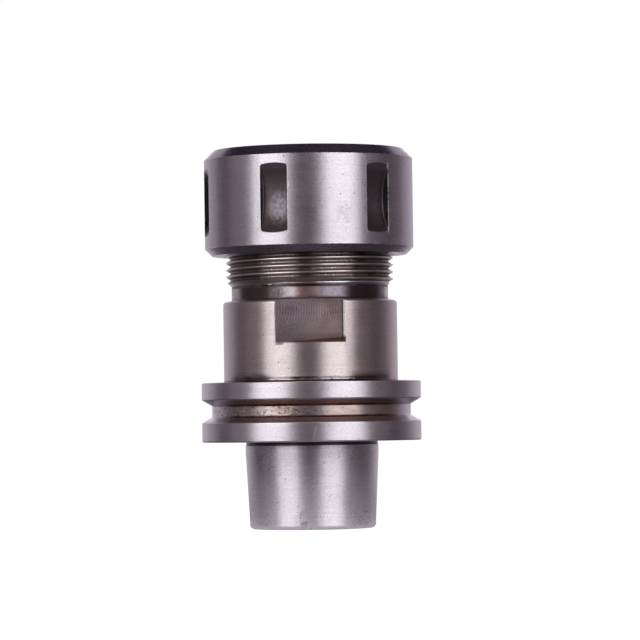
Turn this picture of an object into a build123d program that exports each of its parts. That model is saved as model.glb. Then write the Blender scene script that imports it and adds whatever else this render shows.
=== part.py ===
from build123d import *
import os
from math import ceil, cos, pi, radians, sin, sqrt, tan

# A collet chuck: a hollow taper shank with a gripper flange, a threaded nose with a tapered seat,
# a slit collet and a clamping nut that turns on a ring of balls.
# Millimetres. Z runs up the axis of the chuck and Z = 0 is the small end of the shank.
# The front of the chuck, with one spanner flat towards it, faces -Y.

# Hollow taper shank
SHANK_LENGTH = 25.0
GAUGE_DIAMETER = 38.009
GAUGE_TO_FLANGE = 5.0
SHANK_TAPER = 9.98
SHANK_END_ROUND = 1.2
LAND_LENGTH = 1.9
RELIEF_WIDTH = 1.1
RELIEF_DEPTH = 0.2
FACE_RELIEF_WIDTH = 0.8
FACE_RELIEF_DEPTH = 0.2
SHANK_WALL = 5.0
MOUTH_LENGTH = 7.5
MOUTH_CHAMFER = 0.8
CLAMP_SHOULDER_DEPTH = 1.5
CHAMBER_PAST_FLANGE = 8.0
CLAMP_SHOULDER_ANGLE = 30.0

# Flange with its gripper groove
FLANGE_DIAMETER = 63.0
LOWER_LIP = 5.5
UPPER_LIP = 4.9
GROOVE_FLOOR_WIDTH = 3.2
GROOVE_DEPTH = 2.95
GROOVE_ANGLE = 60.0
FLANGE_EDGE_ROUND = 0.4
GROOVE_CORNER_ROUND = 0.5

# Collar with two spanner flats
COLLAR_STEP = 2.5
COLLAR_LENGTH = 23.2
COLLAR_ROOT_ROUND = 0.6
COLLAR_TOP_ROUND = 1.0
FLAT_DEPTH = 2.0
FLAT_HEIGHT = 12.3
FLAT_CORNER_ROUND = 0.3

# Threaded nose
NECK_LENGTH = 4.3
NECK_UNDERCUT = 1.5
NECK_ROUND = 0.8
THREAD_STEP = 0.77
THREAD_LENGTH = 23.9
THREAD_END_CHAMFER = 1.2
THREAD_CLEARANCE = 0.1
THREAD_PITCH = 2.0
THREAD_DEPTH = 1.23
THREAD_CREST_FLAT = 0.25
THREAD_FLANK_ANGLE = 30.0
THREAD_RUN_IN = 1.0
THREAD_RUN_IN_AZIMUTH = 37.0
THREAD_CUTTER_OVER = 0.15

# Collet and its seat
COLLET_DIAMETER = 35.05
COLLET_TAPER = 10.0
COLLET_LENGTH = 52.0
COLLET_TAIL_WALL = 2.825
COLLET_EDGE = 0.3
COLLET_TAIL_ROUND = 0.8
HEAD_STEP = 0.425
NOSE_ANGLE = 30.0
NOSE_LENGTH = 3.8
HEAD_LAND = 0.7
EXTRACTION_GROOVE_WIDTH = 3.5
EXTRACTION_GROOVE_DEPTH = 1.5
COLLET_LIFT = 5.4
COLLET_TAIL_ROOM = 7.1
SEAT_MOUTH_CHAMFER = 0.5
SEAT_FLOOR_ROUND = 0.8
SLIT_COUNT = 6
SLIT_PHASE = 10.0
SLIT_WIDTH = 1.0
SLIT_BRIDGE = 6.0
THROUGH_HOLE_DIAMETER = 14.0

# Clamping nut
NUT_WALL = 6.77
NUT_LENGTH = 30.2
NUT_OVER_COLLET = 1.8
NUT_TOP_CHAMFER = 2.75
NUT_BOTTOM_CHAMFER = 2.0
NUT_MOUTH_CHAMFER = 1.2
NUT_TOP_EDGE = 0.3
SPANNER_SLOT_COUNT = 6
SPANNER_SLOT_WIDTH = 8.0
SPANNER_SLOT_DEPTH = 2.6
SPANNER_SLOT_PHASE = 11.0
SLOT_CUTTER_DIAMETER = 40.0
SLOT_CUTTER_ROUND = 0.4

# Pressure ring, and the full ring of balls between it and the nut
BALL_COUNT = 35
BALL_GAP = 0.13
RACE_CONFORMITY = 0.52
RACE_FLOOR = 1.5
RING_TO_BALLS = 4.58
RING_CLEARANCE = 0.2
RING_BELOW_COLLET = 0.3
RING_EDGE = 0.3
NOSE_CLEARANCE = 0.06
HEAD_CLEARANCE = 0.25
LIP_CLEARANCE = 0.3
LIP_OVER_CONE = 0.4
LIP_OFFSET = 1.1

# Plug of the ball filling hole, at the back of the nut between two slots
PLUG_AZIMUTH = SPANNER_SLOT_PHASE + 1.5 * 360 / SPANNER_SLOT_COUNT
FILL_HOLE_MARGIN = 1.0
PLUG_CLEARANCE = 0.05
PLUG_BEHIND_RACE = 0.25
PLUG_SINK = 0.5
PLUG_EDGE = 0.3
KEY_ACROSS_FLATS = 2.5
KEY_DEPTH = 2.0

# Heights up the axis that several pieces share
flange_face = SHANK_LENGTH
groove_side = GROOVE_DEPTH * tan(radians(GROOVE_ANGLE / 2))
flange_top = flange_face + LOWER_LIP + GROOVE_FLOOR_WIDTH + 2 * groove_side + UPPER_LIP
collar_top = flange_top + COLLAR_LENGTH
thread_start = collar_top + NECK_LENGTH
nose_face = thread_start + THREAD_LENGTH
collet_gauge = nose_face + COLLET_LIFT
groove_top = collet_gauge + EXTRACTION_GROOVE_WIDTH
head_top = groove_top + HEAD_LAND
collet_front = head_top + NOSE_LENGTH
collet_rear = collet_front - COLLET_LENGTH
nut_top = collet_front + NUT_OVER_COLLET
nut_bottom = nut_top - NUT_LENGTH
ring_top = collet_front - RING_BELOW_COLLET
ring_bottom = collet_gauge + LIP_OVER_CONE
race_height = (ring_top + ring_bottom) / 2

# Radii that several pieces share, from the collet outwards
collet_radius = COLLET_DIAMETER / 2
head_radius = collet_radius - HEAD_STEP
lip_radius = head_radius + HEAD_CLEARANCE
pocket_radius = lip_radius + LIP_OFFSET
pitch_radius = pocket_radius + RING_TO_BALLS
ring_radius = pitch_radius - RING_CLEARANCE
seat_radius = pitch_radius + RING_CLEARANCE
ball_radius = pitch_radius * sin(pi / BALL_COUNT) - BALL_GAP / 2
race_radius = 2 * ball_radius * RACE_CONFORMITY
fill_hole_radius = ball_radius + FILL_HOLE_MARGIN / 2
thread_radius = seat_radius + THREAD_STEP
thread_bore_radius = thread_radius + THREAD_CLEARANCE
nut_radius = seat_radius + NUT_WALL


def turned(*corners):
    """A solid turned about Z. A corner of its half section is (radius, height) or (radius, height, rounding)."""
    points = [corner[:2] for corner in corners]
    rounding = [corner[2] if len(corner) > 2 else 0 for corner in corners]
    outline = FilletPolyline(*points, radius=rounding, close=True)
    return revolve(make_face(Plane.XZ * outline), Axis.Z)


def shank_radius(height):
    """Radius of the shank's taper at a height."""
    gauge_plane = flange_face - GAUGE_TO_FLANGE
    return GAUGE_DIAMETER / 2 + (height - gauge_plane) / (2 * SHANK_TAPER)


def collet_cone_radius(height, gauge_plane):
    """Radius at a height of the collet's taper, whose large end is at the gauge plane."""
    return collet_radius + (height - gauge_plane) / (2 * COLLET_TAPER)


def race():
    """The round channel that the balls run in, cut half from the nut and half from the ring."""
    return Pos(0, 0, race_height) * Torus(pitch_radius, race_radius)


def at_plug(shape):
    """Turns a shape that lies along X to where the filling hole is."""
    return Rot(0, 0, PLUG_AZIMUTH) * Pos(0, 0, race_height) * shape


def radial_rod(radius, inner, outer):
    """A rod along X from one distance from the axis to another."""
    return Pos((inner + outer) / 2, 0, 0) * Rot(0, 90, 0) * Cylinder(radius, outer - inner)


def cut_thread(body):
    """Cuts the right-hand thread's groove a turn at a time, from the neck below it to past the nose."""
    slope = tan(radians(THREAD_FLANK_ANGLE))
    root_radius = thread_radius - THREAD_DEPTH
    root_half = (THREAD_PITCH - THREAD_CREST_FLAT) / 2 - THREAD_DEPTH * slope
    outer_radius = thread_radius + THREAD_CUTTER_OVER
    outer_half = root_half + (outer_radius - root_radius) * slope
    groove = Polyline(
        (root_radius, 0, -root_half),
        (root_radius, 0, root_half),
        (outer_radius, 0, outer_half),
        (outer_radius, 0, -outer_half),
        close=True,
    )
    one_turn = sweep(make_face(groove), Helix(THREAD_PITCH, THREAD_PITCH, thread_radius), is_frenet=True)
    turn_count = ceil((THREAD_RUN_IN + THREAD_LENGTH) / THREAD_PITCH) + 1
    for turn in range(turn_count):
        height = thread_start - THREAD_RUN_IN + turn * THREAD_PITCH
        body -= Pos(0, 0, height) * Rot(0, 0, THREAD_RUN_IN_AZIMUTH) * one_turn
    return body


def make_chuck_body():
    """Shank, flange, collar and threaded nose, turned from one bar, with two milled spanner flats."""
    land_bottom = flange_face - RELIEF_WIDTH - LAND_LENGTH
    land_radius = shank_radius(land_bottom)
    relief_radius = land_radius - RELIEF_DEPTH
    mouth_radius = shank_radius(0) - SHANK_WALL
    chamber_radius = mouth_radius + CLAMP_SHOULDER_DEPTH
    shoulder_length = CLAMP_SHOULDER_DEPTH / tan(radians(CLAMP_SHOULDER_ANGLE))
    chamber_top = flange_face + CHAMBER_PAST_FLANGE
    flange_radius = FLANGE_DIAMETER / 2
    groove_radius = flange_radius - GROOVE_DEPTH
    groove_bottom = flange_face + LOWER_LIP
    groove_floor = groove_bottom + groove_side
    neck_radius = thread_radius - NECK_UNDERCUT
    collar_radius = neck_radius + COLLAR_STEP
    hole_radius = THROUGH_HOLE_DIAMETER / 2
    seat_floor = collet_rear - COLLET_TAIL_ROOM
    seat_mouth = nose_face - SEAT_MOUTH_CHAMFER

    outside = [
        (mouth_radius + MOUTH_CHAMFER, 0),
        (shank_radius(0), 0, SHANK_END_ROUND),
        (land_radius, land_bottom),
        (land_radius, flange_face - RELIEF_WIDTH),
        (relief_radius, flange_face - RELIEF_WIDTH + RELIEF_DEPTH),
        (relief_radius, flange_face + FACE_RELIEF_DEPTH),
        (land_radius + FACE_RELIEF_WIDTH - FACE_RELIEF_DEPTH, flange_face + FACE_RELIEF_DEPTH),
        (land_radius + FACE_RELIEF_WIDTH, flange_face),
        (flange_radius, flange_face, FLANGE_EDGE_ROUND),
        (flange_radius, groove_bottom, FLANGE_EDGE_ROUND),
        (groove_radius, groove_floor, GROOVE_CORNER_ROUND),
        (groove_radius, groove_floor + GROOVE_FLOOR_WIDTH, GROOVE_CORNER_ROUND),
        (flange_radius, flange_top - UPPER_LIP, FLANGE_EDGE_ROUND),
        (flange_radius, flange_top, FLANGE_EDGE_ROUND),
        (collar_radius, flange_top, COLLAR_ROOT_ROUND),
        (collar_radius, collar_top, COLLAR_TOP_ROUND),
        (neck_radius, collar_top, NECK_ROUND),
        (neck_radius, thread_start),
        (thread_radius, thread_start + NECK_UNDERCUT),
        (thread_radius, nose_face - THREAD_END_CHAMFER),
        (thread_radius - THREAD_END_CHAMFER, nose_face),
    ]
    inside = [
        (collet_cone_radius(seat_mouth, nose_face) + SEAT_MOUTH_CHAMFER, nose_face),
        (collet_cone_radius(seat_mouth, nose_face), seat_mouth),
        (collet_cone_radius(seat_floor, nose_face), seat_floor, SEAT_FLOOR_ROUND),
        (hole_radius, seat_floor),
        (hole_radius, chamber_top),
        (chamber_radius, chamber_top),
        (chamber_radius, MOUTH_LENGTH + shoulder_length),
        (mouth_radius, MOUTH_LENGTH),
        (mouth_radius, MOUTH_CHAMFER),
    ]
    body = turned(*outside, *inside)

    flat_cut = Box(
        2 * collar_radius,
        2 * FLAT_DEPTH,
        FLAT_HEIGHT + COLLAR_TOP_ROUND,
        align=(Align.CENTER, Align.MIN, Align.MIN),
    )
    inner_bottom_edge = flat_cut.edges().filter_by(Axis.X).group_by(Axis.Z)[0].sort_by(Axis.Y)[0]
    flat_cut = fillet(inner_bottom_edge, FLAT_CORNER_ROUND)
    for turn in (0, 180):
        body -= Rot(0, 0, turn) * Pos(0, collar_radius - FLAT_DEPTH, collar_top - FLAT_HEIGHT) * flat_cut
    return cut_thread(body)


def make_clamping_nut():
    """The nut's shell: threaded below, with the ring's seat above and spanner slots round its outside."""
    seat_floor = race_height - race_radius - RACE_FLOOR
    shell = turned(
        (thread_bore_radius + NUT_MOUTH_CHAMFER, nut_bottom),
        (nut_radius - NUT_BOTTOM_CHAMFER, nut_bottom),
        (nut_radius, nut_bottom + NUT_BOTTOM_CHAMFER),
        (nut_radius, nut_top - NUT_TOP_CHAMFER),
        (nut_radius - NUT_TOP_CHAMFER, nut_top),
        (seat_radius + NUT_TOP_EDGE, nut_top),
        (seat_radius, nut_top - NUT_TOP_EDGE),
        (seat_radius, seat_floor),
        (thread_bore_radius, seat_floor),
        (thread_bore_radius, nut_bottom + NUT_MOUTH_CHAMFER),
    )
    shell -= race()
    shell -= at_plug(radial_rod(fill_hole_radius, pitch_radius, nut_radius + PLUG_SINK))

    cutter_radius = SLOT_CUTTER_DIAMETER / 2
    cutter = Cylinder(cutter_radius, SPANNER_SLOT_WIDTH)
    cutter = fillet(cutter.edges().filter_by(GeomType.CIRCLE), SLOT_CUTTER_ROUND)
    cutter_out = nut_radius - SPANNER_SLOT_DEPTH + cutter_radius
    for index in range(SPANNER_SLOT_COUNT):
        azimuth = SPANNER_SLOT_PHASE + index * 360 / SPANNER_SLOT_COUNT
        place = Rot(0, 0, azimuth) * Pos(cutter_out, 0, (nut_top + nut_bottom) / 2)
        shell -= place * Rot(90, 0, 0) * cutter
    return shell


def make_pressure_ring():
    """The ring that pushes on the collet's nose, with an eccentric lip that pulls the collet out again."""
    slope = tan(radians(NOSE_ANGLE))
    cone_gap = NOSE_CLEARANCE / cos(radians(NOSE_ANGLE))
    cone_bottom = head_top + LIP_CLEARANCE
    lip_top = groove_top - LIP_CLEARANCE
    lip_inside = lip_radius - LIP_OFFSET - LIP_CLEARANCE
    ring = turned(
        (lip_inside, ring_bottom),
        (ring_radius - RING_EDGE, ring_bottom),
        (ring_radius, ring_bottom + RING_EDGE),
        (ring_radius, ring_top - RING_EDGE),
        (ring_radius - RING_EDGE, ring_top),
        (head_radius - (ring_top - head_top) * slope + cone_gap, ring_top),
        (head_radius - (cone_bottom - head_top) * slope + cone_gap, cone_bottom),
        (head_radius - (cone_bottom - head_top) * slope + HEAD_CLEARANCE, head_top),
        (pocket_radius, head_top),
        (pocket_radius, lip_top),
        (lip_inside, lip_top),
    )
    lip_hole = Cylinder(lip_radius, lip_top - ring_bottom, align=(Align.CENTER, Align.CENTER, Align.MIN))
    ring -= Pos(LIP_OFFSET, 0, ring_bottom) * lip_hole
    ring -= race()
    return ring


def make_collet():
    """The slit collet: nose cone, head, extraction groove and a long slow taper, bored right through."""
    rear_radius = collet_cone_radius(collet_rear, collet_gauge)
    bore_radius = rear_radius - COLLET_TAIL_WALL
    groove_radius = head_radius - EXTRACTION_GROOVE_DEPTH
    front_radius = head_radius - NOSE_LENGTH * tan(radians(NOSE_ANGLE))
    collet = turned(
        (bore_radius + COLLET_EDGE, collet_rear),
        (rear_radius, collet_rear, COLLET_TAIL_ROUND),
        (collet_radius, collet_gauge),
        (groove_radius, collet_gauge, COLLET_EDGE),
        (groove_radius, groove_top, COLLET_EDGE),
        (head_radius, groove_top),
        (head_radius, head_top),
        (front_radius, collet_front),
        (bore_radius + COLLET_EDGE, collet_front),
        (bore_radius, collet_front - COLLET_EDGE),
        (bore_radius, collet_rear + COLLET_EDGE),
    )
    front_slit_bottom = collet_rear + SLIT_BRIDGE
    rear_slit_top = collet_gauge - SLIT_BRIDGE
    for index in range(SLIT_COUNT):
        front_azimuth = SLIT_PHASE + index * 360 / SLIT_COUNT
        rear_azimuth = front_azimuth + 180 / SLIT_COUNT
        collet -= slit(front_azimuth, front_slit_bottom, collet_front + SLIT_WIDTH)
        collet -= slit(rear_azimuth, collet_rear - SLIT_WIDTH, rear_slit_top)
    return collet


def slit(azimuth, bottom, top):
    """A saw cut through one side of the collet's wall."""
    blade = Box(COLLET_DIAMETER, SLIT_WIDTH, top - bottom, align=(Align.MIN, Align.CENTER, Align.MIN))
    return Rot(0, 0, azimuth) * Pos(0, 0, bottom) * blade


def make_race_plug():
    """The set screw that closes the hole the balls were filled through, sunk below the nut's outside."""
    inner = pitch_radius + race_radius + PLUG_BEHIND_RACE
    outer = nut_radius - PLUG_SINK
    screw = radial_rod(fill_hole_radius - PLUG_CLEARANCE, inner, outer)
    screw = chamfer(screw.edges().filter_by(GeomType.CIRCLE), PLUG_EDGE)
    socket_corner = KEY_ACROSS_FLATS / sqrt(3)
    socket = extrude(Plane.YZ.offset(outer - KEY_DEPTH) * RegularPolygon(socket_corner, 6), KEY_DEPTH)
    return at_plug(screw - socket)


def make_balls():
    """The balls side by side all the way round the race."""
    ball = Pos(pitch_radius, 0, race_height) * Sphere(ball_radius)
    return [Rot(0, 0, PLUG_AZIMUTH + index * 360 / BALL_COUNT) * ball for index in range(BALL_COUNT)]


nodes = {
    "chuck_body": make_chuck_body(),
    "clamping_nut": make_clamping_nut(),
    "pressure_ring": make_pressure_ring(),
    "collet": make_collet(),
    "race_plug": make_race_plug(),
}
for number, ball in enumerate(make_balls(), start=1):
    nodes[f"ball_{number:02d}"] = ball

os.makedirs("parts", exist_ok=True)
for name, shape in nodes.items():
    export_step(shape, f"parts/{name}.step")
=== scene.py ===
from math import atan2, cos, hypot, pi, radians, sin

import bpy
import numpy as np
from mathutils import Matrix, Vector


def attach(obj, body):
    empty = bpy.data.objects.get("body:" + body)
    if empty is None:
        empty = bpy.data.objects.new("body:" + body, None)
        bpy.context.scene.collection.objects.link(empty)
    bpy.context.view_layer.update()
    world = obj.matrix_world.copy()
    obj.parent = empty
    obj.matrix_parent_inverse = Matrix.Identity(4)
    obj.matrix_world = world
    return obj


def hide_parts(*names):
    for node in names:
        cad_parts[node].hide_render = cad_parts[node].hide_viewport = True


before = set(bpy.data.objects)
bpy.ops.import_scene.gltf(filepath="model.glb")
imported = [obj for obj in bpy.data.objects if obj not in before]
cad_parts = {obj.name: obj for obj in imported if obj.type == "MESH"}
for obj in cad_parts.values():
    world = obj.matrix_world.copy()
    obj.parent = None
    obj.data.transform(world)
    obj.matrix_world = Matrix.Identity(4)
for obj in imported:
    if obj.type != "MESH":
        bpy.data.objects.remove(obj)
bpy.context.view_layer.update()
MM = 0.001

# Camera: level with the flange, looking very slightly up, as for a catalogue picture
CAMERA_PLACE = (0.0028, -1.021, 0.0336)
CAMERA_AIM = (0.0028, 0.0, 0.05975)
CAMERA_LENS = 199.7
CAMERA_LEAN = radians(0.82)

# Thread 48 x 2 in the nut, in step with the one on the chuck's nose, in millimetres
PITCH = 2.0
CREST_HEIGHT_AT_FRONT = 74.8
NUT_ROOT, NUT_CREST = 24.1, 22.92
STEPS_A_TURN = 160

# Heights of the turned shapes, in millimetres, as the frame has them
FLANGE_TOP = 42.006
GROOVE_FLOOR_MIDDLE, GROOVE_FLOOR_HALF = 33.803, 1.6
FLAT_BOTTOM = 52.906
COLLAR_TOP = 65.206
THREAD_START = 69.506
NUT_BOTTOM, NUT_TOP = 78.406, 108.606
NUT_SEAT_FLOOR = 99.277
LOW_BEVEL_TOP, HIGH_BEVEL_FOOT = NUT_BOTTOM + 2.0, NUT_TOP - 2.75

# Radii of the turned shapes, and how far the spanner flats stand from the axis
FLANGE_RADIUS = 31.5
COLLAR_RADIUS = 25.0
NUT_RADIUS = 30.0
FLAT_FROM_AXIS = 23.0
OUTSIDE = (17.2, 17.4)

# Spanner slots of the nut: every 60 degrees, one of them 11 degrees round from the x axis
SLOT_MIDDLE = 93.506
SLOT_HALF_WIDTH = 4.0
SLOT_PHASE = 11.0

# Steel, from clean to stained, and the colours of painted highlights and painted shade on it
STEEL = (0.60, 0.558, 0.603)
SHANK_STEEL = (0.71, 0.65, 0.71)
PAINTED_PALE_STEEL = (0.82, 0.755, 0.83)
CREST_STEEL = (0.66, 0.585, 0.61)
WARM_STEEL = (0.60, 0.515, 0.515)
TAN_STEEL = (0.47, 0.375, 0.345)
FLANK_STEEL = (0.46, 0.32, 0.295)
NECK_TAN = (0.60, 0.41, 0.36)
NECK_GREY = (0.20, 0.165, 0.215)
FLAT_LEFT, FLAT_RIGHT = (0.44, 0.36, 0.395), (0.60, 0.475, 0.465)
SLOT_STEEL, SLOT_TOP_SHADE = (0.30, 0.265, 0.315), (0.19, 0.165, 0.20)
LOW_BEVEL, HIGH_BEVEL = (0.45, 0.385, 0.475), (0.35, 0.30, 0.38)
EDGE_HIGHLIGHT = (1.0, 0.95, 0.95)
BODY_GLINT, NUT_GLINT = (0.92, 0.88, 0.92), (0.92, 0.88, 0.93)

# Oil, rust and dirt, and a rust gold for painted glints
BROWN = (0.13, 0.065, 0.045)
DARK_OIL = (0.03, 0.013, 0.014)
SLOT_OIL, THIN_SLOT_OIL = (0.05, 0.03, 0.03), (0.095, 0.066, 0.072)
DARK_RED = (0.055, 0.012, 0.012)
RUST, RUST_GLINT_GOLD = (0.30, 0.15, 0.08), (0.95, 0.66, 0.44)
BODY_PIT, NUT_PIT, FINE_PIT = (0.11, 0.075, 0.075), (0.12, 0.085, 0.09), (0.12, 0.09, 0.09)

# Ovals of rust pits on the body's front: middle, half width, half height and strength
PITTED = (
    (-13.0, 19.6, 3.6, 3.6, 1.0),
    (-7.0, 16.5, 2.8, 3.4, 0.35),
    (10.5, 21.6, 5.6, 1.8, 0.8),
    (-14.0, 2.9, 1.9, 2.0, 1.0),
    (-2.9, 3.0, 2.2, 2.3, 1.0),
    (14.4, 3.8, 3.0, 3.3, 1.0),
    (2.6, 12.0, 2.0, 1.6, 0.4),
)

# Fine scratches on the body's front, from one point to the other
SCRATCHED = (
    (1.9, 39.4, -0.6, 38.0),
    (2.6, 41.2, 1.9, 39.6),
    (-17.6, 39.0, -16.9, 38.1),
    (12.6, 40.6, 13.0, 39.2),
    (-2.2, 9.2, 0.4, 10.4),
    (-1.6, 8.0, 0.6, 9.3),
    (-0.8, 7.4, 1.2, 8.0),
    (7.2, 43.9, 7.9, 44.8),
)


# Shader maths

def feed(socket, item):
    """Gives a socket a link or a plain value."""
    if isinstance(item, Value):
        socket.id_data.links.new(item.socket, socket)
    elif isinstance(item, bpy.types.NodeSocket):
        socket.id_data.links.new(item, socket)
    else:
        socket.default_value = item


def grow(tree, kind, settings=None, sockets=None):
    """A new node. Its settings are made first, then its sockets get their values or links."""
    made = tree.nodes.new(kind)
    for key, setting in (settings or {}).items():
        setattr(made, key, setting)
    for key, item in (sockets or {}).items():
        feed(made.inputs[key], item)
    return made


class Value:
    """A number that varies over a surface. Python's operators on it add Math nodes."""

    def __init__(self, socket):
        self.socket = socket

    def grown(self, kind, settings, items):
        node = grow(self.socket.id_data, kind, settings, dict(enumerate(items)))
        return Value(node.outputs[0])

    def maths(self, operation, *others):
        return self.grown("ShaderNodeMath", {"operation": operation}, (self, *others))

    def __add__(self, other):
        return self.maths("ADD", other)

    def __sub__(self, other):
        return self.maths("SUBTRACT", other)

    def __rsub__(self, other):
        return self.grown("ShaderNodeMath", {"operation": "SUBTRACT"}, (other, self))

    def __mul__(self, other):
        return self.maths("MULTIPLY", other)

    def __truediv__(self, other):
        return self.maths("DIVIDE", other)

    def __pow__(self, other):
        return self.maths("POWER", other)

    def __abs__(self):
        return self.maths("ABSOLUTE")

    def __or__(self, other):
        """The larger of the two, which lays one mask over another."""
        return self.maths("MAXIMUM", other)

    __radd__ = __add__
    __rmul__ = __mul__

    def above(self, low, high):
        """0 below low, 1 above high and smooth between them."""
        smooth = {"interpolation_type": "SMOOTHSTEP"}
        return self.grown("ShaderNodeMapRange", smooth, (self, low, high, 0.0, 1.0))

    def below(self, low, high):
        return 1 - self.above(low, high)

    def within(self, low, high, soft):
        """1 between low and high, fading over soft outside them."""
        return self.above(low - soft, low) * self.below(high, high + soft)


class Finish:
    """A procedural material of one piece. Its x, y, z and radius are in millimetres."""

    def __init__(self, name):
        self.material, self.tree = empty_material(name)
        place = self.node("ShaderNodeTexCoord").outputs["Object"]
        self.place = self.vector("SCALE", place, scale=1000.0)
        parts = self.node("ShaderNodeSeparateXYZ", sockets={0: self.place})
        self.x, self.y, self.z = (Value(socket) for socket in parts.outputs)
        self.radius = (self.x * self.x + self.y * self.y) ** 0.5
        self.azimuth = self.y.maths("ARCTAN2", self.x)
        self.front = self.y.below(-8.0, -6.0)

    def node(self, kind, settings=None, sockets=None):
        return grow(self.tree, kind, settings, sockets)

    def vector(self, operation, first, second=None, scale=None):
        sockets = {0: first}
        if second is not None:
            sockets[1] = second
        if scale is not None:
            sockets["Scale"] = scale
        return self.node("ShaderNodeVectorMath", {"operation": operation}, sockets).outputs[0]

    def scaled(self, size, stretch, shift):
        """The place in units of size millimetres, drawn out by stretch along each axis."""
        where = self.vector("MULTIPLY", self.place, [1 / (size * s) for s in stretch])
        return self.vector("ADD", where, shift)

    def noise(self, size, stretch=(1, 1, 1), detail=2.0, gain=0.5, shift=0.0):
        """Noise with blobs of about size millimetres."""
        where = self.scaled(size, stretch, (shift, -shift, 0.7 * shift))
        sockets = {"Vector": where, "Scale": 1.0, "Detail": detail, "Roughness": gain}
        return Value(self.node("ShaderNodeTexNoise", sockets=sockets).outputs[0])

    def spots(self, size, share, seed=0.0, stretch=(1, 1, 1)):
        """Round spots of up to about size millimetres; share is how much of the cells hold one."""
        where = self.scaled(size, stretch, (seed, seed * 1.7, -seed))
        sockets = {"Vector": where, "Scale": 1.0}
        cells = self.node("ShaderNodeTexVoronoi", {"feature": "F1"}, sockets)
        chance = self.node("ShaderNodeSeparateXYZ", sockets={0: cells.outputs["Color"]})
        picked = Value(chance.outputs[0]).below(share, share + 0.01)
        extent = 0.08 + 0.3 * Value(chance.outputs[1])
        distance = Value(cells.outputs["Distance"])
        return picked * (1 - (distance / extent).above(0.6, 1.0))

    def band(self, low, high, soft, inner, outer):
        """1 between two heights and two radii. A radius is given by both ends of its fade."""
        return self.z.within(low, high, soft) * self.radius.above(*inner) * self.radius.below(*outer)

    def patch(self, x, z, across, tall, soft=0.35):
        """1 in an oval on the front, by its middle and half sizes, fading at its edge."""
        off_x, off_z = (self.x - x) / across, (self.z - z) / tall
        away = (off_x * off_x + off_z * off_z) ** 0.5
        return away.below(1 - soft, 1 + soft) * self.front

    def scratch(self, x, z, x_end, z_end, width=0.07):
        """A fine straight scratch on the front between two points."""
        length = hypot(x_end - x, z_end - z)
        along_x, along_z = (x_end - x) / length, (z_end - z) / length
        along = (self.x - x) * along_x + (self.z - z) * along_z
        off = abs((self.x - x) * along_z - (self.z - z) * along_x)
        line = off.below(width * 0.5, width * 1.5)
        return line * along.within(0.1, length - 0.1, 0.3) * self.front

    def mix(self, share, first, second):
        sockets = {0: share}
        for key, colour in ((6, first), (7, second)):
            linked = isinstance(colour, bpy.types.NodeSocket)
            sockets[key] = colour if linked else (*colour, 1)
        return self.node("ShaderNodeMix", {"data_type": "RGBA"}, sockets).outputs[2]

    def layers(self, colour, *coats):
        """Lays coats over a colour, each of them a share and a colour of its own."""
        for share, coat in coats:
            colour = self.mix(share, colour, coat)
        return colour

    def shade(self, colour, amount):
        """A colour made darker or lighter by a number."""
        return self.vector("SCALE", colour, scale=amount)

    def finish(self, colour, roughness, metallic, height, strength, distance, anisotropic=0.0):
        relief = {"Strength": strength, "Distance": distance, "Height": height}
        bump = self.node("ShaderNodeBump", sockets=relief)
        sockets = {
            "Base Color": colour,
            "Roughness": roughness,
            "Metallic": metallic,
            "Normal": bump.outputs[0],
            "Anisotropic": anisotropic,
            "Anisotropic Rotation": 0.25,
        }
        principled = self.node("ShaderNodeBsdfPrincipled", sockets=sockets)
        self.node("ShaderNodeOutputMaterial", sockets={"Surface": principled.outputs[0]})
        return self.material


def empty_material(name):
    material = bpy.data.materials.new(name)
    material.use_nodes = True
    material.node_tree.nodes.clear()
    return material, material.node_tree


def turned_lines(f, fine=0.12, coarse=0.55):
    """Height of the fine rings that a turning tool leaves, as -1 to 1."""
    first = f.noise(fine, (60, 60, 1), detail=3, gain=0.6)
    second = f.noise(coarse, (40, 40, 1), detail=2)
    return (first - 0.5) * 1.4 + (second - 0.5)


# Body: shank, flange, collar, neck and thread

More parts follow.
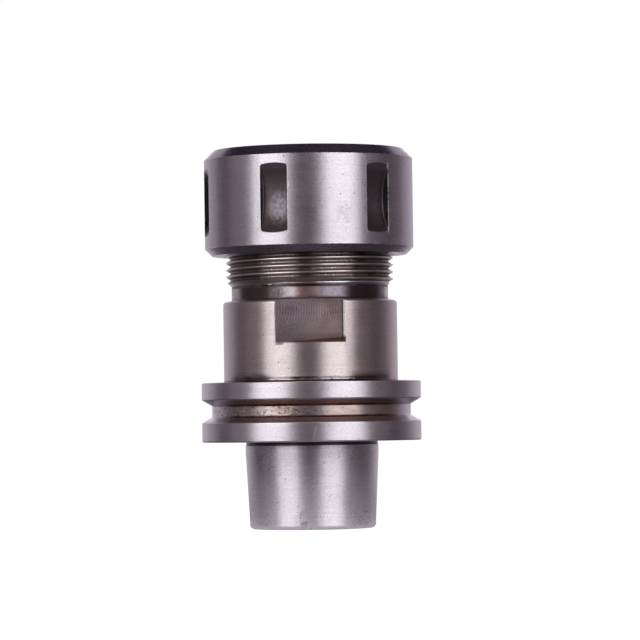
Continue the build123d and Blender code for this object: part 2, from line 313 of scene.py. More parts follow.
def body_steel():
    f = Finish("turned_body_steel")
    lines = turned_lines(f)
    mottle = f.noise(7.0, detail=3, gain=0.6)
    cloud = f.noise(22.0, detail=2, shift=3.1)
    grain = f.noise(0.36, (1.5, 1.5, 1), detail=2, gain=0.7)
    streaks = f.noise(0.5, (26, 26, 1), detail=3, gain=0.7, shift=1.0) - 0.5
    smear = f.noise(2.6, (3.0, 3.0, 1.0), detail=4, gain=0.65, shift=1.9)
    smeared = smear.above(0.4, 0.6)

    # turned shapes, from the shank up
    cavity = f.radius.below(14.9, 15.2)
    shank = f.z.below(24.0, 24.2) * f.radius.above(*OUTSIDE)
    relief = f.band(24.1, 25.3, 0.15, (17, 18), (19.3, 19.7))
    groove = f.band(31.0, 36.6, 0.5, (20, 21), (FLANGE_RADIUS - 0.5, FLANGE_RADIUS - 0.05))
    from_floor_edge = abs(f.z - GROOVE_FLOOR_MIDDLE) - GROOVE_FLOOR_HALF
    groove_corner = groove * from_floor_edge.within(-0.15, 0.15, 0.3)
    flank = groove * f.radius.above(28.7, 29.0) * abs(f.x).below(22.0, 28.0)
    corner = f.band(FLANGE_TOP - 0.1, FLANGE_TOP + 0.5, 1.1, (23, 24), (25.9, 26.3))
    near_collar = (COLLAR_RADIUS + 0.2, COLLAR_RADIUS + 0.4)
    collar = f.band(FLANGE_TOP + 0.3, COLLAR_TOP, 0.5, OUTSIDE, near_collar)
    flat = abs(f.y).within(FLAT_FROM_AXIS - 0.1, FLAT_FROM_AXIS + 0.06, 0.02)
    flat = flat * f.radius.below(COLLAR_RADIUS + 0.03, COLLAR_RADIUS + 0.08)
    flat = flat * f.z.above(FLAT_BOTTOM - 0.05, FLAT_BOTTOM)
    # the flats' right edge: a painted highlight strip that carries on the collar's highlight
    painted_edge_highlight = flat * f.x.above(9.3, 9.45)
    neck = f.band(COLLAR_TOP + 0.1, THREAD_START - 0.75, 0.2, OUTSIDE, (24.4, 24.6))
    under_thread_shade = f.band(THREAD_START - 0.65, THREAD_START - 0.1, 0.25, OUTSIDE, (23.0, 23.3))
    threads = f.z.above(THREAD_START + 0.6, THREAD_START + 1.2) * f.radius.above(22.0, 22.4)
    root = threads * f.radius.below(23.3, 23.8)
    crest = threads * f.radius.above(23.5, 23.8)

    # two bands 45 degrees either side of the front, and the two upright bands on the front where the
    # softboxes' highlights fall
    sides = abs(abs(f.azimuth + radians(90)) - radians(45)).below(radians(12), radians(24))
    highlight_bands = f.x.within(-13.0, -4.0, 2.0) + f.x.within(1.5, 11.5, 2.0)

    # brown film
    middle = f.patch(-0.8, 67.3, 3.6, 3.2, 0.5) * neck
    rims = f.z.above(68.2, 68.8) | f.z.below(66.2, 66.7)
    film = neck * (0.10 + 0.28 * smear.above(0.42, 0.62) + 0.14 * f.x.below(-6.0, -3.0))
    film = film * (1 - middle)
    film |= middle * rims * (0.25 + 0.35 * smeared)
    film |= groove * 0.30 * smear.above(0.45, 0.75)
    film |= groove * f.x.above(12.0, 19.0) * f.x.below(22.0, 26.0) * 0.5
    # thread roots browner, less so in the highlight bands: painted highlight
    film |= root * (0.75 - 0.38 * highlight_bands)
    film |= collar * (0.05 + 0.2 * cloud.above(0.45, 0.7)) * sides
    flat_foot = (f.z + 1.4 * cloud - 0.06 * f.x).below(FLAT_BOTTOM + 1.3, FLAT_BOTTOM + 2.3)
    film |= flat * flat_foot * f.x.above(-7.0, -4.0)
    film |= cavity * smear.above(0.4, 0.7) * 0.4
    film |= f.patch(-8.7, FLAT_BOTTOM - 0.3, 1.3, 0.35) * collar * 0.7
    film |= f.patch(-2.6, 3.4, 1.4, 2.2) * smear.above(0.45, 0.6) * 0.45

    # black oil, with painted shade under the thread's start, in the relief under the flange and along
    # the flats' right edge
    neck_foot = neck * (f.z - 0.8 * smear).below(COLLAR_TOP - 0.1, COLLAR_TOP + 0.9)
    left_crust = f.patch(-11.6, 67.0, 5.0, 3.4, 0.45) * neck
    light_crumbs = f.spots(0.5, 0.8, 41.0) | f.noise(0.6, detail=3).above(0.52, 0.66) * 0.8
    corner_smudge = (f.z - 3.2 * smear).below(FLANGE_TOP - 0.5, FLANGE_TOP + 1.9)
    crumbs = f.spots(0.5, 0.6, 21.0, (1.6, 1.6, 1)) * f.x.below(-3.0, 3.0)
    mould = f.noise(0.9, (1.6, 1.6, 1), detail=4, gain=0.7).above(0.5, 0.62)
    mould = mould * groove * f.patch(-13.0, GROOVE_FLOOR_MIDDLE, 15.0, 2.6, 0.5)
    dark = neck * sides * 0.93
    dark |= neck_foot * 0.75
    dark |= left_crust * (0.84 - 0.5 * light_crumbs)
    dark |= collar * corner_smudge * sides * 0.8
    # painted shade in the band under the thread's start
    dark |= under_thread_shade * (0.85 + 0.15 * smeared)
    # relief under the flange near black: oil, and painted shade under the flange
    dark |= relief * 0.9
    # painted shade: a dark line along the flats' right edge
    dark |= flat * f.x.within(9.0, 9.2, 0.15) * 0.7
    dark |= groove * crumbs * smear.above(0.35, 0.5) * 0.75
    dark |= mould * 0.75
    # thread roots near black, less so in the highlight bands: painted highlight
    dark |= root * (0.60 + 0.30 * mottle.above(0.4, 0.6)) * (1 - 0.35 * highlight_bands)

    # dark red dirt in the corners of collar and groove
    over_flange = f.z - FLANGE_TOP
    foot = f.x.within(-17.5, 18.0, 2.0) * f.radius.above(23, 24)
    foot = foot * f.radius.below(COLLAR_RADIUS + 0.4, COLLAR_RADIUS + 0.8)
    dirt = corner * f.z.below(FLANGE_TOP + 0.35, FLANGE_TOP + 0.55)
    dirt |= foot * over_flange.within(0.1, 1.25, 0.25) * (0.45 + 0.5 * smeared)
    dirt |= groove_corner * (0.75 + 0.25 * smeared) * abs(f.x).below(20.0, 27.0)

    # pits
    pits = f.spots(0.42, 0.2, 3.0) * mottle.above(0.5, 0.62)
    pits |= f.spots(0.7, 0.05, 9.0) * 0.9
    pits |= f.spots(0.42, 0.3, 5.0) * f.noise(5.0, detail=2, shift=8.0).above(0.54, 0.64) * shank
    rusty = f.patch(-7.3, 47.3, 3.0, 1.3, 0.6) * 0.4
    for x, z, wide, tall, amount in PITTED:
        rusty |= f.patch(x, z, wide, tall, 0.5) * amount
    pits |= rusty * f.spots(0.5, 0.95, 15.0)
    squiggles = abs(f.noise(1.3, detail=2, gain=0.6, shift=5.5) - 0.5).below(0.008, 0.03)
    pits |= rusty * shank * squiggles * 0.7
    pits = pits * (1 - threads)

    # rusty specks down in the thread, painted as bright gold glints, mostly in the highlight bands
    on_helix = f.z - f.azimuth * (PITCH / (2 * pi)) - CREST_HEIGHT_AT_FRONT - PITCH / 4
    in_root = abs(on_helix.maths("FLOORED_MODULO", PITCH) - PITCH / 2).below(0.2, 0.5)
    rust_glints = f.spots(0.9, 0.95, 12.0, (1, 1, 0.7)) | f.spots(0.7, 0.95, 17.0, (1, 1, 0.8))
    rust_glints = rust_glints * root * in_root * (0.2 + 0.8 * highlight_bands * smear.above(0.25, 0.4))

    # painted glints where the softboxes' highlights fall on the thread's run-out and the collar's foot,
    # and scratches
    run_out_glint = f.scratch(-11.7, 69.5, -5.8, 69.8, 0.14) | f.scratch(1.9, 69.85, 11.3, 70.25, 0.14)
    run_out_glint = run_out_glint * f.noise(0.7, detail=1, shift=9.0).above(0.42, 0.52)
    foot_glint = foot * over_flange.within(0.58, 0.64, 0.12)
    foot_glint = foot_glint * f.noise(1.1, detail=2, shift=14.0).above(0.4, 0.56)
    foot_glint = foot_glint * (f.x.within(-12.8, -5.2, 0.6) + f.x.within(3.4, 12.0, 0.6))
    glints = run_out_glint | foot_glint
    scratches = f.scratch(1.3, 29.2, 0.4, 25.8)
    for ends in SCRATCHED:
        scratches |= f.scratch(*ends, 0.055)

    # marks of the end mill on the spanner flats: one arc for each step of its feed
    drop = f.z - (COLLAR_TOP - 3.3)
    bow = (60.0 - drop * drop).maths("MAXIMUM", 1.0) ** 0.5
    waver = f.noise(6.0, detail=1) * 0.8
    marks = ((f.x - bow + waver) * (2 * pi / 0.74)).maths("SINE") * flat
    marks = marks * (0.3 + f.noise(2.5, detail=2, shift=5.0))
    marks = marks * f.z.above(FLAT_BOTTOM + 0.8, FLAT_BOTTOM + 3.5)
    marks = marks * (1 - 0.55 * (f.x + f.z - 61.7).above(2.0, 9.0))

    groove_tan = (0.35 + 0.65 * smear.above(0.3, 0.6)) * abs(f.x).below(20.0, 26.0)
    neck_grey = (f.x + 1.2 * smear).above(1.2, 4.2) * f.front
    colour = f.layers(
        STEEL,
        (collar * 0.85 | threads * 0.8, WARM_STEEL),
        (groove * groove_tan, TAN_STEEL),
        (flank, FLANK_STEEL),
        (shank, SHANK_STEEL),
        # painted light: the shank paler towards the bottom
        (shank * f.z.below(10.0, 22.0), PAINTED_PALE_STEEL),
        (middle * 0.9, NECK_TAN),
        (neck * neck_grey * 0.9, NECK_GREY),
        (flat, f.mix((f.x * 0.09 + cloud).above(0.1, 1.0), FLAT_LEFT, FLAT_RIGHT)),
        (crest * 0.9, CREST_STEEL),
        (painted_edge_highlight, EDGE_HIGHLIGHT),
        (film, BROWN),
        (dark, DARK_OIL),
        (dirt, DARK_RED),
        (rust_glints, RUST_GLINT_GOLD),
        (pits * 0.75, BODY_PIT),
        (scratches * 0.7 | glints * 0.85, BODY_GLINT),
    )
    tone = 0.94 + 0.16 * mottle + (0.62 + 0.15 * shank) * (grain - 0.5)
    tone = tone + 0.30 * streaks - 0.13 * collar
    colour = f.shade(colour, tone * (1 + 0.22 * marks))
    height = lines * (1 - flat) * 0.8 + marks * 1.3 + (grain - 0.5) * 0.9
    height = height - pits * 0.9 - film * 0.2 - scratches * 0.8
    roughness = 0.335 + 0.10 * (mottle - 0.5) + flat * 0.05 + shank * 0.02
    roughness = roughness + pits * 0.2 + film * 0.05 + streaks * 0.12
    haze = shank * f.z.below(4.0, 22.0) * 0.16
    dulled = 0.35 * film + 0.35 * dark | haze | 0.6 * glints + 0.75 * painted_edge_highlight
    metallic = 1 - dulled - 0.5 * rust_glints
    return f.finish(colour, roughness, metallic, height, 0.35, 0.00004, anisotropic=0.6)


# Clamping nut

def nut_steel():
    f = Finish("turned_nut_steel")
    lines = turned_lines(f)
    mottle = f.noise(6.0, detail=3, gain=0.6, shift=2.2)
    grain = f.noise(0.34, (1.5, 1.5, 1), detail=2, gain=0.7)
    streaks = f.noise(0.5, (26, 26, 1), detail=3, gain=0.7, shift=1.0) - 0.5
    smear = f.noise(3.4, (1.0, 1.0, 1.2), detail=5, gain=0.6)
    fine_smear = f.noise(1.1, detail=4, gain=0.65, shift=3.0)

    # place in the nearest slot: across it and up from its middle
    folded = (f.azimuth - radians(SLOT_PHASE - 30)).maths("FLOORED_MODULO", radians(60))
    across = f.radius * (folded - radians(30)).maths("SINE")
    up = f.z - SLOT_MIDDLE
    front_left = f.x.below(-2.0, 0.0) * f.y.below(-20.0, -18.0)

    # slots, bevels and thread
    skin = f.radius.above(NUT_RADIUS - 0.3, NUT_RADIUS - 0.1)
    in_slot = f.radius.below(NUT_RADIUS - 0.14, NUT_RADIUS - 0.06) * f.radius.above(26.5, 26.8)
    in_slot = in_slot * abs(across).below(4.05, 4.1) * abs(up).below(10.2, 10.4)
    bevel = f.z.below(LOW_BEVEL_TOP - 0.1, LOW_BEVEL_TOP)
    bevel |= f.z.above(HIGH_BEVEL_FOOT, HIGH_BEVEL_FOOT + 0.1)
    bevel = bevel * f.radius.above(26.5, 27.0)
    thread = f.z.below(NUT_SEAT_FLOOR - 0.15, NUT_SEAT_FLOOR - 0.05)
    thread_root = thread * f.radius.below(24.2, 24.4) * f.radius.above(23.2, 23.8)

    # worn edges of the slots and bevels, painted as bright highlight lines, brighter on the slots'
    # right edges than on their left
    near_slot = abs(up).below(9.7, 10.1) * skin
    worn_glint = (across - SLOT_HALF_WIDTH).within(-0.05, 0.2, 0.1) * near_slot
    worn_glint = worn_glint * f.noise(1.0, detail=3, shift=4.0).above(0.34, 0.5)
    left_worn_glint = (across + SLOT_HALF_WIDTH).within(-0.15, 0.05, 0.1) * near_slot
    left_worn_glint = left_worn_glint * f.noise(1.2, detail=3, shift=7.0).above(0.5, 0.65)
    ding_x, ding_z = (across - SLOT_HALF_WIDTH - 0.2) / 0.5, (up - 3.7) / 1.1
    ding = (ding_x * ding_x + ding_z * ding_z).below(0.6, 1.2) * skin * front_left
    worn_glint = worn_glint | left_worn_glint * 0.6 | ding
    low_edge = (f.z - LOW_BEVEL_TOP).within(-0.1, 0.12, 0.12)
    high_edge = (f.z - HIGH_BEVEL_FOOT).within(-0.12, 0.1, 0.12)
    edge_worn_glint = (low_edge | high_edge) * f.radius.above(NUT_RADIUS - 0.4, NUT_RADIUS - 0.2)
    edge_worn_glint = edge_worn_glint * f.noise(0.8, detail=3, shift=6.0).above(0.5, 0.62)

    # pits
    pits = f.spots(0.42, 0.25, 2.0) * mottle.above(0.5, 0.6) | f.spots(0.75, 0.06, 7.0)
    rusty = f.patch(9.6, 88.6, 2.6, 3.4) * 0.6 | f.patch(8.0, 83.2, 3.8, 1.6) * 0.5
    pits |= rusty * f.spots(0.5, 0.7, 15.0)
    squiggles = abs(f.noise(1.5, detail=2, gain=0.6, shift=5.5) - 0.5).below(0.008, 0.03)
    pits |= f.patch(9.8, 88.9, 2.0, 2.8, 0.5) * squiggles * 0.4
    pits = pits * (1 - in_slot)

    # oil in the slots, thinner away from their walls. A painted highlight low in the middle of each
    # slot, strongest in the front left one, clears the oil there
    glow_x, glow_z = (across - 1.0) / 3.5, (up + 2.6) / 4.9
    ragged = 0.7 * (fine_smear - 0.5) + 1.9 * (smear - 0.5)
    glow = (glow_x * glow_x + glow_z * glow_z + ragged).below(-0.4, 1.32)
    blotches = (fine_smear + 0.2 * (grain - 0.5)).above(0.39, 0.68) * 0.76
    oil = in_slot * (1 - glow * (0.3 + 0.7 * front_left) * (0.97 - blotches))
    # painted shade: more oil towards the slots' lower ends
    oil = oil * (0.86 + 0.14 * up.below(-6.0, -3.0))
    thin = abs(across).below(3.3, 3.9) * (up.above(0.0, 6.0) | 1 - front_left)
    rust = f.noise(1.8, detail=4, gain=0.7, shift=12.0).above(0.5, 0.66)
    rust = rust * abs(across + 2.2).below(1.0, 2.6) * up.above(-7.0, -3.0)

    colour = f.layers(
        STEEL,
        (in_slot, SLOT_STEEL),
        (oil * 0.96, f.mix(thin, SLOT_OIL, THIN_SLOT_OIL)),
        (in_slot * rust * 0.3, RUST),
        # painted dark reflection in the upper end of each slot
        (in_slot * up.above(7.2, 9.0), SLOT_TOP_SHADE),
        (thread_root * 0.8, DARK_OIL),
        # painted shade: both bevels darker than the steel, the upper one darker than the lower
        (bevel * 0.9, f.mix(up.below(0.0, 1.0), HIGH_BEVEL, LOW_BEVEL)),
        (pits * 0.72, NUT_PIT),
        # real wear and a ding, painted bright as highlights
        ((worn_glint | edge_worn_glint) * 0.85, NUT_GLINT),
    )
    tone = 0.75 + 0.14 * mottle + (0.62 * (grain - 0.5) + 0.26 * streaks) * (1 - 0.9 * bevel)
    height = lines * (1 - in_slot) * (0.8 - 0.6 * bevel) + (grain - 0.5) * (0.9 - 0.85 * bevel)
    height = height - pits * 0.8 + in_slot * (fine_smear - 0.5)
    roughness = 0.33 + 0.08 * (mottle - 0.5) + pits * 0.2
    roughness = roughness + in_slot * 0.07 + streaks * 0.12 - bevel * 0.06
    metallic = 1 - (0.3 * in_slot | 0.6 * worn_glint)
    colour = f.shade(colour, tone)
    return f.finish(colour, roughness, metallic, height, 0.35, 0.00004, anisotropic=0.6)


# Pieces inside the nut

def ground_steel(name, tone, roughness, seed):
    """Ground inner pieces: fine rings, faint stains and an oil film."""
    f = Finish(name)
    lines = turned_lines(f, 0.09, 0.4)
    mottle = f.noise(5.0, detail=3, gain=0.6, shift=seed)
    stain = f.noise(1.6, detail=4, gain=0.6, shift=seed + 2).above(0.6, 0.72)
    pits = f.spots(0.6, 0.08, seed)
    colour = f.shade(f.layers(tone, (stain * 0.3, BROWN), (pits * 0.6, FINE_PIT)), 0.92 + 0.18 * mottle)
    roughness = roughness + 0.08 * (mottle - 0.5) + 0.2 * pits
    height = lines * 0.3 - pits * 2.0
    return f.finish(colour, roughness, 1.0, height, 0.3, 0.00003, anisotropic=0.5)


def plug_steel():
    f = Finish("blackened_plug_steel")
    mottle = f.noise(0.9, detail=3, gain=0.6)
    colour = f.mix(mottle.above(0.45, 0.7) * 0.5, (0.05, 0.045, 0.045), BROWN)
    return f.finish(colour, 0.38 + 0.15 * (mottle - 0.5), 0.8, mottle, 0.3, 0.00003)


def ball_steel():
    f = Finish("polished_ball_steel")
    mottle = f.noise(0.8, detail=3, gain=0.6)
    colour = f.mix(mottle.above(0.55, 0.75) * 0.25, (0.72, 0.71, 0.72), (0.45, 0.36, 0.28))
    return f.finish(colour, 0.1 + 0.08 * mottle, 1.0, mottle, 0.1, 0.00001)


# Thread in the nut

def cad_arrays(node):
    """Welded vertices in millimetres, triangles and corner normals of a CAD node."""
    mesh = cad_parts[node].data
    places = np.zeros(len(mesh.vertices) * 3)
    mesh.vertices.foreach_get("co", places)
    places = places.reshape(-1, 3) * 1000
    corners = np.zeros(len(mesh.loops), int)
    mesh.loops.foreach_get("vertex_index", corners)
    normals = np.array([n.vector[:] for n in mesh.corner_normals])
    rounded = np.round(places, 4)
    _, first, same = np.unique(rounded, axis=0, return_index=True, return_inverse=True)
    return places[first], same.reshape(-1)[corners].reshape(-1, 3), normals.reshape(-1, 3, 3)


def thread_profile(root, crest, slimmer):
    """Offsets along a pitch and radii: crest flat, flank, root flat, flank."""
    depth = abs(crest - root)
    crest_half = PITCH / 16 - slimmer
    root_start = crest_half + depth * 0.5774
    offsets = [-crest_half, 0.0, crest_half]
    radii = [crest, crest, crest]
    for share in (0.33, 0.67, 0.94):
        offsets.append(crest_half + share * (root_start - crest_half))
        radii.append(crest + share * (root - crest))
    offsets += [root_start + 0.03, PITCH / 2, PITCH - root_start - 0.03]
    radii += [root, root, root]
    for share in (0.94, 0.67, 0.33):
        offsets.append(PITCH - crest_half - share * (root_start - crest_half))
        radii.append(crest + share * (root - crest))
    return offsets, radii


def helix(root, crest, phase, low, high, limit, slimmer):
    """A thread's surface between two heights: vertices, faces and its two end rings."""
    offsets, radii = thread_profile(root, crest, slimmer)
    points = len(offsets)
    turns = int((high - low) / PITCH) + 4
    start = phase + PITCH * np.floor((low - phase) / PITCH) - PITCH
    places, index = [], {}

    def vertex(step, row):
        turn, part = divmod(row, points)
        angle = 2 * pi * step / STEPS_A_TURN
        height = start + PITCH * (turn + step / STEPS_A_TURN) + offsets[part]
        clamped = min(max(height, low), high)
        radius = limit(radii[part], clamped)
        key = (step % STEPS_A_TURN, round(clamped, 5))
        if key not in index:
            index[key] = len(places)
            places.append((radius * cos(angle), radius * sin(angle), clamped))
        return index[key]

    faces = []
    for step in range(STEPS_A_TURN):
        for row in range(turns * points):
            below, above = row, row + 1
            ring = [vertex(step, below), vertex(step + 1, below)]
            ring += [vertex(step + 1, above), vertex(step, above)]
            ring = [v for at, v in enumerate(ring) if v != ring[at - 1]]
            if len(ring) > 2:
                faces.append(ring)
    ends = []
    for height in (low, high):
        ends.append([index[(step, round(height, 5))] for step in range(STEPS_A_TURN)])
    return np.array(places), faces, ends


def zip_rings(places, first, second):
    """Triangles between two rings of vertices that have different counts."""
    def sorted_ring(ring):
        return sorted((atan2(places[v][1], places[v][0]) % (2 * pi), v) for v in ring)
    a, b = sorted_ring(first), sorted_ring(second)
    faces, i, j = [], 0, 0
    while i < len(a) or j < len(b):
        next_a = a[(i + 1) % len(a)][0] + (2 * pi if i + 1 >= len(a) else 0)
        next_b = b[(j + 1) % len(b)][0] + (2 * pi if j + 1 >= len(b) else 0)
        if j >= len(b) or (i < len(a) and next_a <= next_b):
            faces.append([a[i % len(a)][1], a[(i + 1) % len(a)][1], b[j % len(b)][1]])
            i += 1
        else:
            faces.append([a[i % len(a)][1], b[(j + 1) % len(b)][1], b[j % len(b)][1]])
            j += 1
    return faces


def threaded(name, node, drop, ring_heights, grid):
    """A copy of a CAD node whose plain bore is replaced by a cut thread."""
    places, triangles, normals = cad_arrays(node)
    gone = drop(places[triangles])
    kept, kept_normals = triangles[~gone], normals[~gone]
    band = set(triangles[gone].reshape(-1))
    shared = sorted(band & set(kept.reshape(-1)))
    thread_places, thread_faces, ends = grid
    count = len(places)
    everything = np.vstack([places, thread_places])
    faces = [[v + count for v in face] for face in thread_faces]
    for height, end in zip(ring_heights, ends):
        rim = [v for v in shared if abs(places[v][2] - height) < 0.01]
        faces += zip_rings(everything, rim, [v + count for v in end])
    turned_faces = []
    for face in faces:
        a, b, c = (everything[v] for v in face[:3])
        outward = np.cross(b - a, c - a) @ np.array([a[0], a[1], 0])
        turned_faces.append(face if outward <= 0 else face[::-1])
    all_faces = [list(map(int, t)) for t in kept] + turned_faces
    used = sorted({v for face in all_faces for v in face})
    renumber = {v: at for at, v in enumerate(used)}
    vertices = [tuple(everything[v] * MM) for v in used]
    mesh = bpy.data.meshes.new(name)
    mesh.from_pydata(vertices, [], [[renumber[v] for v in face] for face in all_faces])
    mesh.update()
    mesh.shade_smooth()
    mesh.set_sharp_from_angle(angle=radians(35))
    split = np.array([n.vector[:] for n in mesh.corner_normals])
    split[: 3 * len(kept)] = kept_normals.reshape(-1, 3)
    mesh.normals_split_custom_set([tuple(n) for n in split])
    piece = bpy.data.objects.new(name, mesh)
    bpy.context.scene.collection.objects.link(piece)
    return piece


def threaded_nut():
    """The clamping nut with its inner thread, which starts and ends in a 45 degree cone."""
    bottom, top = NUT_BOTTOM + 1.2, NUT_SEAT_FLOOR
    low, high = bottom + 0.1, top - 0.1

    def in_bore(corners):
        radius = np.hypot(corners[:, :, 0], corners[:, :, 1])
        heights = corners[:, :, 2]
        on_bore = (radius.max(1) < NUT_ROOT + 0.1) & (radius.min(1) > NUT_ROOT - 0.1)
        return on_bore & (heights.max(1) < top + 0.01) & (heights.min(1) > bottom - 0.01)

    def limit(radius, height):
        return max(radius, NUT_ROOT - (height - low), NUT_ROOT - (high - height))

    phase = CREST_HEIGHT_AT_FRONT - PITCH * 0.75 + PITCH / 2
    grid = helix(NUT_ROOT, NUT_CREST, phase, low, high, limit, slimmer=0.03)
    return threaded("threaded_clamping_nut", "clamping_nut", in_bore, (bottom, top), grid)


# Pieces and their finishes

def dress(node, material):
    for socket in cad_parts[node].material_slots:
        socket.material = material


nut = threaded_nut()
nut.data.materials.append(nut_steel())
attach(nut, "clamping_nut")
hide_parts("clamping_nut")

dress("chuck_body", body_steel())
dress("pressure_ring", ground_steel("ground_ring_steel", (0.58, 0.565, 0.57), 0.22, 4.0))
dress("collet", ground_steel("ground_collet_steel", (0.64, 0.625, 0.62), 0.2, 11.0))
dress("race_plug", plug_steel())
balls = ball_steel()
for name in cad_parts:
    if name.startswith("ball_"):
        dress(name, balls)


# Studio, in metres. Its cards and sheets are seen in reflections alone.

CARD_FOOT, CARD_TOP = 0.002, 1.6
FLAG = (0.145, 0.098, 0.125)
SIDE_FLAG = (0.120, 0.083, 0.102)
LEFT_SHADE, RIGHT_SHADE = (0.35, 0.28, 0.325), (0.25, 0.19, 0.225)
GREY = (0.62, 0.555, 0.62)
DIM_GREY = (0.42, 0.365, 0.42)
CARDS = (
    ("camera_flag", -24, 15, 1.34, FLAG),
    ("left_shade", -96, -62, 1.34, LEFT_SHADE),
    ("left_flag", -120, -96, 1.34, SIDE_FLAG),
    ("right_shade", 56, 88, 1.34, RIGHT_SHADE),
    ("right_flag", 88, 124, 1.34, SIDE_FLAG),
    ("left_dim_grey", -138, -120, 1.36, DIM_GREY),
    ("left_grey", -166, -138, 1.36, GREY),
    ("right_dim_grey", 124, 142, 1.36, DIM_GREY),
    ("right_grey", 142, 166, 1.36, GREY),
)

# Dark ceiling, and just under it two grey panels that top faces mirror in views from above
CEILING = [(-1.7, -1.3), (1.7, -1.3), (1.7, 1.6), (-1.7, 1.6)]
REAR_PANEL = [(-0.24, 0.36), (0.24, 0.36), (0.36, 0.75), (0.42, 1.6), (-0.42, 1.6), (-0.36, 0.75)]
FRONT_PANEL = [(-1.7, -1.3), (1.7, -1.3), (1.7, -0.36), (-1.7, -0.36)]

SOFTBOX_WIDTH, SOFTBOX_HEIGHT = 0.86, 0.87
SOFTBOX_DISTANCE, SOFTBOX_MIDDLE = 1.2, 0.445


def stage_mesh(name, places, faces, material):
    mesh = bpy.data.meshes.new(name)
    mesh.from_pydata(places, [], faces)
    mesh.materials.append(material)
    made = bpy.data.objects.new(name, mesh)
    bpy.context.scene.collection.objects.link(made)
    return made


def mirrored_mesh(name, places, faces, paint, colour):
    """A glowing mesh that the camera doesn't see and that throws neither light nor shadow."""
    material, tree = empty_material(paint)
    glow = grow(tree, "ShaderNodeEmission", sockets={"Color": (*colour, 1), "Strength": 1.0})
    grow(tree, "ShaderNodeOutputMaterial", sockets={"Surface": glow.outputs[0]})
    made = stage_mesh(name, places, faces, material)
    made.visible_camera = False
    made.visible_diffuse = False
    made.visible_shadow = False


def card(name, start, end, distance, colour):
    """A tall card bent round the object. Angles are in degrees from the camera's side."""
    steps = max(2, int(abs(end - start) / 4))
    places, faces = [], []
    for step in range(steps + 1):
        angle = radians(start + (end - start) * step / steps)
        for height in (CARD_FOOT, CARD_TOP):
            places.append((distance * sin(angle), -distance * cos(angle), height))
    for step in range(steps):
        faces.append([2 * step, 2 * step + 2, 2 * step + 3, 2 * step + 1])
    mirrored_mesh(name, places, faces, name + "_paint", colour)


def overhead_sheet(name, outlines, height, paint, colour):
    places, faces = [], []
    for outline in outlines:
        faces.append(list(range(len(places), len(places) + len(outline))))
        places += [(x, y, height) for x, y in outline]
    mirrored_mesh(name, places, faces, paint, colour)


def softbox(name, angle, radiance):
    light = bpy.data.lights.new(name, "AREA")
    light.shape = "RECTANGLE"
    light.size, light.size_y = SOFTBOX_WIDTH, SOFTBOX_HEIGHT
    light.energy = radiance * 4 * SOFTBOX_WIDTH * SOFTBOX_HEIGHT
    lamp = bpy.data.objects.new(name, light)
    turn = radians(angle)
    lamp.location = (SOFTBOX_DISTANCE * sin(turn), -SOFTBOX_DISTANCE * cos(turn), SOFTBOX_MIDDLE)
    aim = Vector((0, 0, SOFTBOX_MIDDLE)) - lamp.location
    lamp.rotation_euler = aim.to_track_quat("-Z", "Y").to_euler()
    lamp.visible_camera = False
    bpy.context.scene.collection.objects.link(lamp)


def seen_rays(tree, *kinds):
    """1 for the kinds of ray that should see white, 0 for the others."""
    rays = grow(tree, "ShaderNodeLightPath")
    seen = Value(rays.outputs["Is Camera Ray"])
    for kind in kinds:
        seen |= Value(rays.outputs[kind])
    return seen


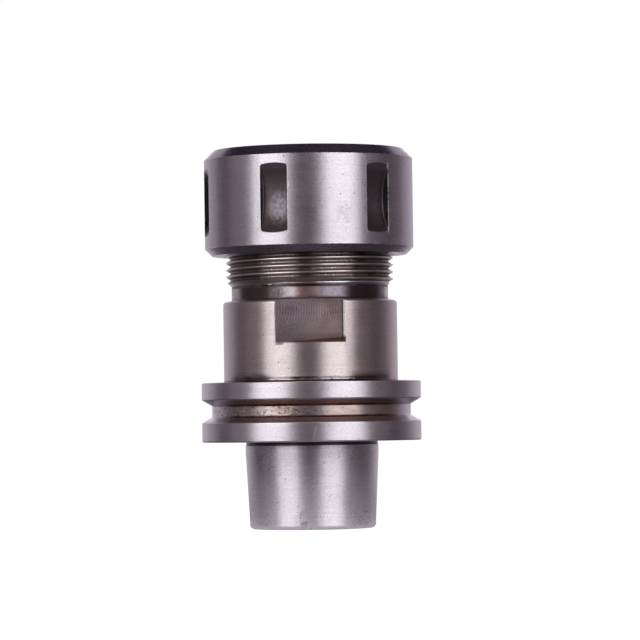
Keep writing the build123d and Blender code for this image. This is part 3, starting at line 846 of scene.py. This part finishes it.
def floor_paint():
    """Pale matt floor, white to the camera. Reflections see a painted glow on it, brighter near the
    object and behind.
    """
    material, tree = empty_material("pale_floor")
    place = grow(tree, "ShaderNodeTexCoord").outputs["Object"]
    parts = grow(tree, "ShaderNodeSeparateXYZ", sockets={0: place})
    across, along = Value(parts.outputs[0]), Value(parts.outputs[1])
    away = (across * across + along * along) ** 0.5
    # painted glow for reflections: brighter near the object and behind it
    lit = (0.34 * away.below(0.028, 0.045) | 0.60 * along.above(0.02, 0.40)) + 0.07
    seen = seen_rays(tree, "Is Transmission Ray")
    matt = grow(tree, "ShaderNodeBsdfDiffuse", sockets={"Color": (0.8, 0.8, 0.8, 1)})
    glow = grow(tree, "ShaderNodeEmission", sockets={"Color": (1, 1, 1, 1), "Strength": 0.72})
    white = grow(tree, "ShaderNodeAddShader", sockets={0: matt.outputs[0], 1: glow.outputs[0]})
    scale, tinted = {"operation": "SCALE"}, {0: (1.0, 0.94, 1.0), "Scale": lit}
    tint = grow(tree, "ShaderNodeVectorMath", scale, tinted).outputs[0]
    mirrored = grow(tree, "ShaderNodeEmission", sockets={"Color": tint, "Strength": 1.0})
    sides = {0: seen, 1: mirrored.outputs[0], 2: white.outputs[0]}
    both = grow(tree, "ShaderNodeMixShader", sockets=sides)
    grow(tree, "ShaderNodeOutputMaterial", sockets={"Surface": both.outputs[0]})
    return material


stage_mesh("floor", [(-4, -4, 0), (4, -4, 0), (4, 4, 0), (-4, 4, 0)], [[0, 1, 2, 3]], floor_paint())
for name, start, end, distance, colour in CARDS:
    card(name, start, end, distance, colour)
overhead_sheet("ceiling_flag", [CEILING], 1.0, "ceiling_paint", (0.02, 0.014, 0.022))
overhead_sheet("ceiling_panels", [REAR_PANEL, FRONT_PANEL], 0.99, "panel_paint", (0.46, 0.42, 0.46))
softbox("left_softbox", -42.3, 1.62)
softbox("right_softbox", 36.3, 1.6)

world = bpy.data.worlds.new("studio")
bpy.context.scene.world = world
world.use_nodes = True
tree = world.node_tree
tree.nodes.clear()
strength = 0.35 + 0.65 * seen_rays(tree, "Is Glossy Ray", "Is Transmission Ray")
sky = grow(tree, "ShaderNodeBackground", sockets={"Color": (1, 1, 1, 1), "Strength": strength})
grow(tree, "ShaderNodeOutputWorld", sockets={"Surface": sky.outputs[0]})

camera = bpy.data.objects.new("camera", bpy.data.cameras.new("camera"))
bpy.context.scene.collection.objects.link(camera)
camera.data.lens = CAMERA_LENS
camera.data.sensor_width = 36
camera.data.clip_start, camera.data.clip_end = 0.05, 20
camera.location = CAMERA_PLACE
aim = (Vector(CAMERA_AIM) - Vector(CAMERA_PLACE)).to_track_quat("-Z", "Y")
camera.rotation_mode = "QUATERNION"
camera.rotation_quaternion = aim @ Matrix.Rotation(-CAMERA_LEAN, 4, "Z").to_quaternion()
bpy.context.scene.camera = camera
bpy.context.scene.view_settings.view_transform = "Standard"
